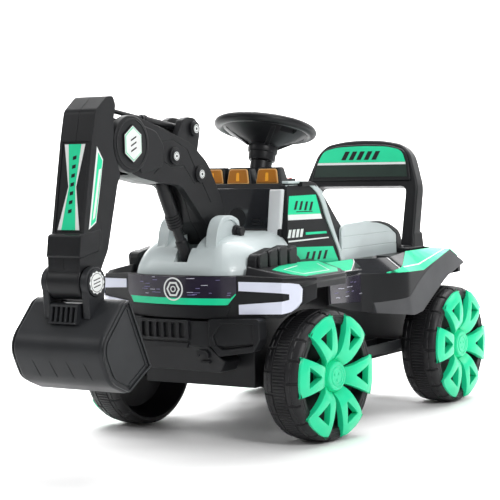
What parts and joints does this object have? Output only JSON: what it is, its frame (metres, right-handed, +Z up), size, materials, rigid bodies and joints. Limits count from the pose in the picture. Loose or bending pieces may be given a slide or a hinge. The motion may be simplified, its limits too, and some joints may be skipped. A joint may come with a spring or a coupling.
{
  "type": "ride on digger",
  "caption": "Battery ride-on digger for a small child: steered front wheels, seat with open back, domed hood with a jointed arm and bucket, footboards and beacons.",
  "frame": {"origin": "on the ground under the middle of the digger's box", "axes": "-Y is forwards, +X the rider's left, +Z up"},
  "size_m": [0.4798, 1.03, 0.574],
  "materials": {
    "black_plastic": "fine moulded black plastic",
    "tyre_plastic": "black blow-moulded plastic with fine ribs",
    "green_plastic": "mint green plastic",
    "pale_plastic": "light grey plastic",
    "bucket_plastic": "dark grey plastic",
    "smoked_plastic": "glossy smoked plastic",
    "lamp_plastic": "milky white lamp plastic",
    "amber_plastic": "amber lens",
    "silver_plastic": "silver plastic",
    "steel": "zinc plated steel",
    "red_plastic": "red plastic"
  },
  "bodies": {
    "frame": {"chassis": "black_plastic", "kingpins": "steel", "rear_axle": "steel", "axle_spacers": "black_plastic", "gearbox": "black_plastic", "motor": "steel", "battery": "black_plastic", "body": "black_plastic", "front_cover": "black_plastic", "fascia_panel": "smoked_plastic", "light_bars": "lamp_plastic", "bumper": "black_plastic", "hood": "pale_plastic", "boom_pin": "steel", "vent_blocks": "black_plastic", "cowl": "pale_plastic", "dash_shell": "black_plastic", "cowl_panel": "smoked_plastic", "cowl_strips": "silver_plastic", "lamp_bar": "black_plastic", "beacon_lenses": "amber_plastic", "side_panels": "smoked_plastic", "seat": "pale_plastic", "seat_back": "black_plastic", "seat_back_panel": "green_plastic", "footboards": "black_plastic", "charge_socket": "black_plastic"},
    "steering": {"steering_wheel": "black_plastic", "steering_rod": "steel"},
    "horn": {"horn_button": "black_plastic"},
    "knuckle_left": {"knuckle_left": "black_plastic", "stub_axle_left": "steel"},
    "knuckle_right": {"knuckle_right": "black_plastic", "stub_axle_right": "steel"},
    "tie": {"tie_rod": "black_plastic"},
    "wheel_front_left": {"wheel_front_left": "tyre_plastic", "hub_cap_front_left": "green_plastic"},
    "wheel_front_right": {"wheel_front_right": "tyre_plastic", "hub_cap_front_right": "green_plastic"},
    "boom": {"boom_shell_left": "black_plastic", "boom_shell_right": "black_plastic", "boom_badges": "green_plastic", "stick_pin": "steel"},
    "stick": {"stick_shell_left": "black_plastic", "stick_shell_right": "black_plastic", "stick_front_plate": "green_plastic", "bucket_pin": "steel"},
    "bucket": {"bucket": "bucket_plastic", "bucket_hub_caps": "bucket_plastic"},
    "boom_ram_rod": {"boom_ram_rod": "black_plastic"},
    "boom_ram_sleeve": {"boom_ram_sleeve": "black_plastic"},
    "stick_ram_sleeve": {"stick_ram_sleeve": "black_plastic"},
    "stick_ram_rod": {"stick_ram_rod": "steel"},
    "pedal": {"foot_pedal": "black_plastic"},
    "power": {"power_switch": "red_plastic"},
    "direction": {"direction_switch": "black_plastic"},
    "wheel_rear_left": {"wheel_rear_left": "tyre_plastic", "hub_cap_rear_left": "green_plastic"},
    "wheel_rear_right": {"wheel_rear_right": "tyre_plastic", "hub_cap_rear_right": "green_plastic"}
  },
  "joints": [
    {"name": "steering_turn", "type": "hinge", "parent": "frame", "child": "steering", "pos_m": [0, 0.0915, 0.523], "axis": [0, 0.2588, 0.9659], "range_deg": [-24, 46]},
    {"name": "horn_press", "type": "slide", "parent": "steering", "child": "horn", "axis": [0, -0.2588, -0.9659], "range_m": [0, 0.003], "stiffness_N_per_m": 400, "springref_m": -0.002},
    {"name": "knuckle_left_turn", "type": "hinge", "parent": "frame", "child": "knuckle_left", "pos_m": [0.132, -0.0615, 0.11], "axis": [0, 0, 1], "range_deg": [-12.5, 23.5]},
    {"name": "knuckle_right_turn", "type": "hinge", "parent": "frame", "child": "knuckle_right", "pos_m": [-0.132, -0.0615, 0.11], "axis": [0, 0, 1], "range_deg": [-12.5, 23.5]},
    {"name": "tie_rod_shift", "type": "slide", "parent": "frame", "child": "tie", "axis": [-1, 0, 0], "range_m": [-0.008, 0.0147]},
    {"name": "front_left_spin", "type": "hinge", "parent": "knuckle_left", "child": "wheel_front_left", "pos_m": [0.19021, -0.06206, 0.11], "axis": [0.9954, -0.0955, 0], "continuous": true},
    {"name": "front_right_spin", "type": "hinge", "parent": "knuckle_right", "child": "wheel_front_right", "pos_m": [-0.18926, -0.05098, 0.11], "axis": [0.9954, -0.0955, 0], "continuous": true},
    {"name": "rear_left_spin", "type": "hinge", "parent": "frame", "child": "wheel_rear_left", "pos_m": [0.19, 0.4055, 0.11], "axis": [1, 0, 0], "continuous": true},
    {"name": "rear_right_spin", "type": "hinge", "parent": "frame", "child": "wheel_rear_right", "pos_m": [-0.19, 0.4055, 0.11], "axis": [1, 0, 0], "continuous": true},
    {"name": "boom_pitch", "type": "hinge", "parent": "frame", "child": "boom", "pos_m": [0, -0.0995, 0.35], "axis": [1, 0, 0], "range_deg": [-20, 20]},
    {"name": "stick_pitch", "type": "hinge", "parent": "boom", "child": "stick", "pos_m": [0, -0.3445, 0.5], "axis": [1, 0, 0], "range_deg": [-40, 2]},
    {"name": "bucket_pitch", "type": "hinge", "parent": "stick", "child": "bucket", "pos_m": [0, -0.4615, 0.293], "axis": [1, 0, 0], "range_deg": [-35, 35]},
    {"name": "boom_ram_tilt", "type": "hinge", "parent": "frame", "child": "boom_ram_rod", "pos_m": [0, -0.1495, 0.285], "axis": [1, 0, 0], "range_deg": [-16.5, 16.5]},
    {"name": "boom_ram_slide", "type": "slide", "parent": "boom_ram_rod", "child": "boom_ram_sleeve", "axis": [0, -0.4681, 0.8837], "range_m": [-0.0262, 0.0262]},
    {"name": "stick_ram_tilt", "type": "hinge", "parent": "boom", "child": "stick_ram_sleeve", "pos_m": [0, -0.1645, 0.523], "axis": [1, 0, 0], "range_deg": [-9.6, 0.6]},
    {"name": "stick_ram_slide", "type": "slide", "parent": "stick_ram_sleeve", "child": "stick_ram_rod", "axis": [0, -0.9881, 0.1536], "range_m": [-0.0448, 0.0026]},
    {"name": "pedal_press", "type": "hinge", "parent": "frame", "child": "pedal", "pos_m": [-0.136, 0.1705, 0.138], "axis": [1, 0, 0], "range_deg": [0, 8], "stiffness_Nm_per_rad": 0.8, "springref_deg": -8.59},
    {"name": "power_rock", "type": "hinge", "parent": "frame", "child": "power", "pos_m": [0.06, 0.0565, 0.4315], "axis": [1, 0, 0], "range_deg": [-10, 10]},
    {"name": "direction_rock", "type": "hinge", "parent": "frame", "child": "direction", "pos_m": [-0.06, 0.0565, 0.4315], "axis": [1, 0, 0], "range_deg": [-10, 10]}
  ],
  "couplings": [
    {"joint": "knuckle_left_turn", "follows": "steering_turn", "ratio": 0.5},
    {"joint": "knuckle_right_turn", "follows": "steering_turn", "ratio": 0.5},
    {"joint": "tie_rod_shift", "follows": "steering_turn", "m_per_rad": 0.0175},
    {"joint": "boom_ram_tilt", "follows": "boom_pitch", "ratio": 0.81},
    {"joint": "boom_ram_slide", "follows": "boom_pitch", "m_per_rad": -0.0738},
    {"joint": "stick_ram_tilt", "follows": "stick_pitch", "ratio": 0.235},
    {"joint": "stick_ram_slide", "follows": "stick_pitch", "m_per_rad": 0.0635}
  ]
}
